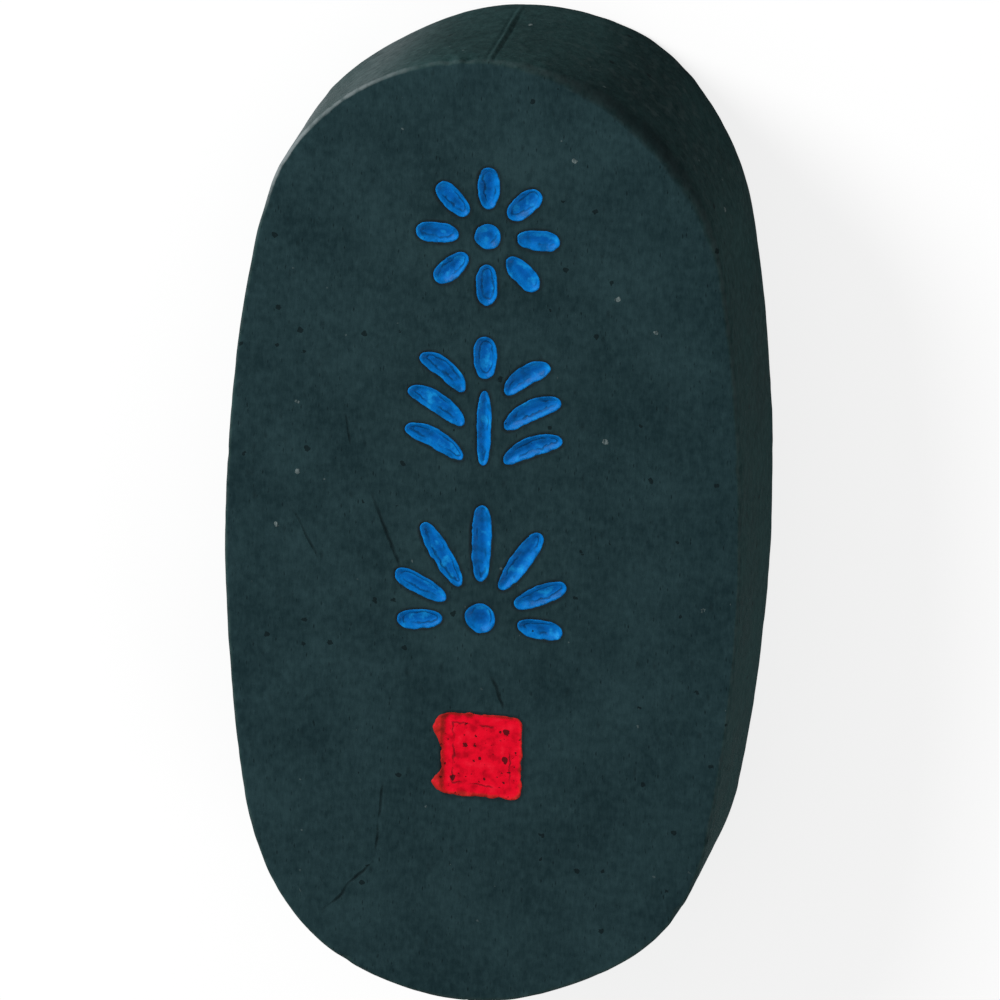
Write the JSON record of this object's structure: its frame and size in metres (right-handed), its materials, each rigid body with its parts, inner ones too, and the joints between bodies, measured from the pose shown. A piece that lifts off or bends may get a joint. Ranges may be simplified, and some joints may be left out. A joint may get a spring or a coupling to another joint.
{
  "type": "ink stick",
  "caption": "Oval stick of pressed ink lying on its back, with blue painted ornaments and a red square field in shallow beds. It is rubbed with water on an ink stone.",
  "frame": {"origin": "bottom centre: the middle of the flat back, which the stick lies on", "axes": "+Z out of the marked face, up; +Y along the length, towards the heads of the ornaments; X across the width"},
  "size_m": [0.035, 0.067, 0.012],
  "materials": {
    "ink": "matte",
    "blue_pigment": "satin",
    "red_pigment": "satin"
  },
  "bodies": {
    "root": {"blossom_heart": "blue_pigment", "blossom_petal_1": "blue_pigment", "blossom_petal_2": "blue_pigment", "blossom_petal_3": "blue_pigment", "blossom_petal_4": "blue_pigment", "blossom_petal_5": "blue_pigment", "blossom_petal_6": "blue_pigment", "blossom_petal_7": "blue_pigment", "blossom_petal_8": "blue_pigment", "fan_base_petal_left": "blue_pigment", "fan_base_petal_right": "blue_pigment", "fan_heart": "blue_pigment", "fan_inner_petal_left": "blue_pigment", "fan_inner_petal_right": "blue_pigment", "fan_middle_petal": "blue_pigment", "fan_outer_petal_left": "blue_pigment", "fan_outer_petal_right": "blue_pigment", "ink_cake": "ink", "seal_field": "red_pigment", "sprig_crown_leaf": "blue_pigment", "sprig_lower_leaf_left": "blue_pigment", "sprig_lower_leaf_right": "blue_pigment", "sprig_middle_leaf_left": "blue_pigment", "sprig_middle_leaf_right": "blue_pigment", "sprig_stem": "blue_pigment", "sprig_upper_leaf_left": "blue_pigment", "sprig_upper_leaf_right": "blue_pigment"}
  },
  "joints": []
}
